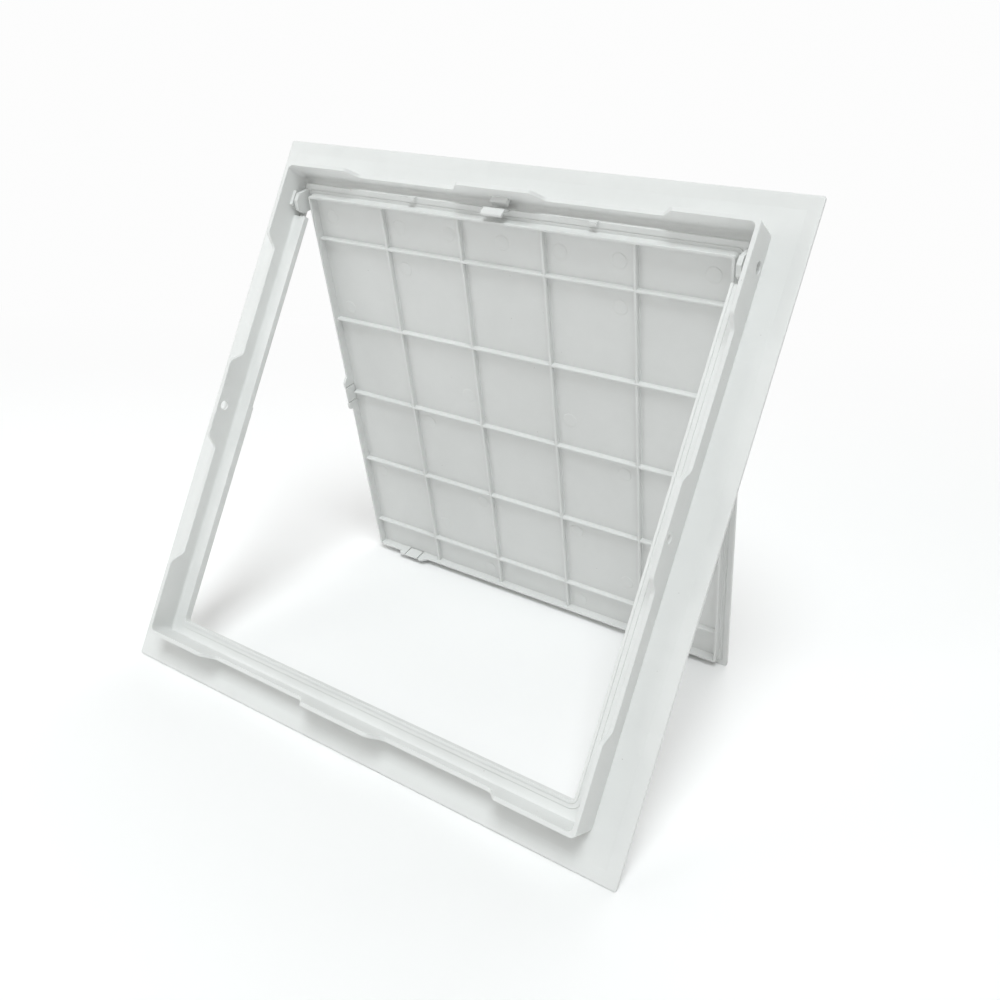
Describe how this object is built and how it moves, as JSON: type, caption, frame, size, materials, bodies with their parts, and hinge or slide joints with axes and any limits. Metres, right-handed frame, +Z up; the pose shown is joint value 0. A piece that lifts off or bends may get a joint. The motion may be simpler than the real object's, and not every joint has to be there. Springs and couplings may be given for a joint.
{
  "type": "ceiling access panel",
  "caption": "White moulded access panel: flanged square frame with wavy collar and stop lip, and a ribbed door that swings on side pins and snaps shut with bending latches.",
  "frame": {"origin": "bottom centre of the panel's box, on the floor that it stands on with its door propped open", "axes": "+X along the hinge, +Y from the frame's foot towards the door's foot, +Z up"},
  "size_m": [0.37, 0.2342, 0.3254],
  "materials": {
    "frame_plastic": "satin moulded white ABS",
    "door_plastic": "satin moulded white ABS"
  },
  "bodies": {
    "frame": {"frame": "frame_plastic"},
    "door": {"door_panel": "door_plastic", "hinge_pin_left": "door_plastic", "hinge_pin_right": "door_plastic"},
    "latch_left": {"latch_left": "door_plastic"},
    "latch_right": {"latch_right": "door_plastic"},
    "latch_lower_left": {"latch_lower_left": "door_plastic"},
    "latch_lower_right": {"latch_lower_right": "door_plastic"}
  },
  "joints": [
    {"name": "door_hinge", "type": "hinge", "parent": "frame", "child": "door", "pos_m": [0, 0.04416, 0.29008], "axis": [1, 0, 0], "range_deg": [-41.3, 78.7]},
    {"name": "latch_left_bend", "type": "hinge", "parent": "door", "child": "latch_left", "pos_m": [-0.1492, 0.0815, 0.1479], "axis": [0, -0.2177, 0.976], "range_deg": [0, 10], "stiffness_Nm_per_rad": 2},
    {"name": "latch_right_bend", "type": "hinge", "parent": "door", "child": "latch_right", "pos_m": [0.1492, 0.0815, 0.1479], "axis": [0, 0.2177, -0.976], "range_deg": [0, 10], "stiffness_Nm_per_rad": 2},
    {"name": "latch_lower_left_bend", "type": "hinge", "parent": "door", "child": "latch_lower_left", "pos_m": [-0.115, 0.11303, 0.00657], "axis": [-1, 0, 0], "range_deg": [0, 10], "stiffness_Nm_per_rad": 2},
    {"name": "latch_lower_right_bend", "type": "hinge", "parent": "door", "child": "latch_lower_right", "pos_m": [0.115, 0.11303, 0.00657], "axis": [-1, 0, 0], "range_deg": [0, 10], "stiffness_Nm_per_rad": 2}
  ]
}
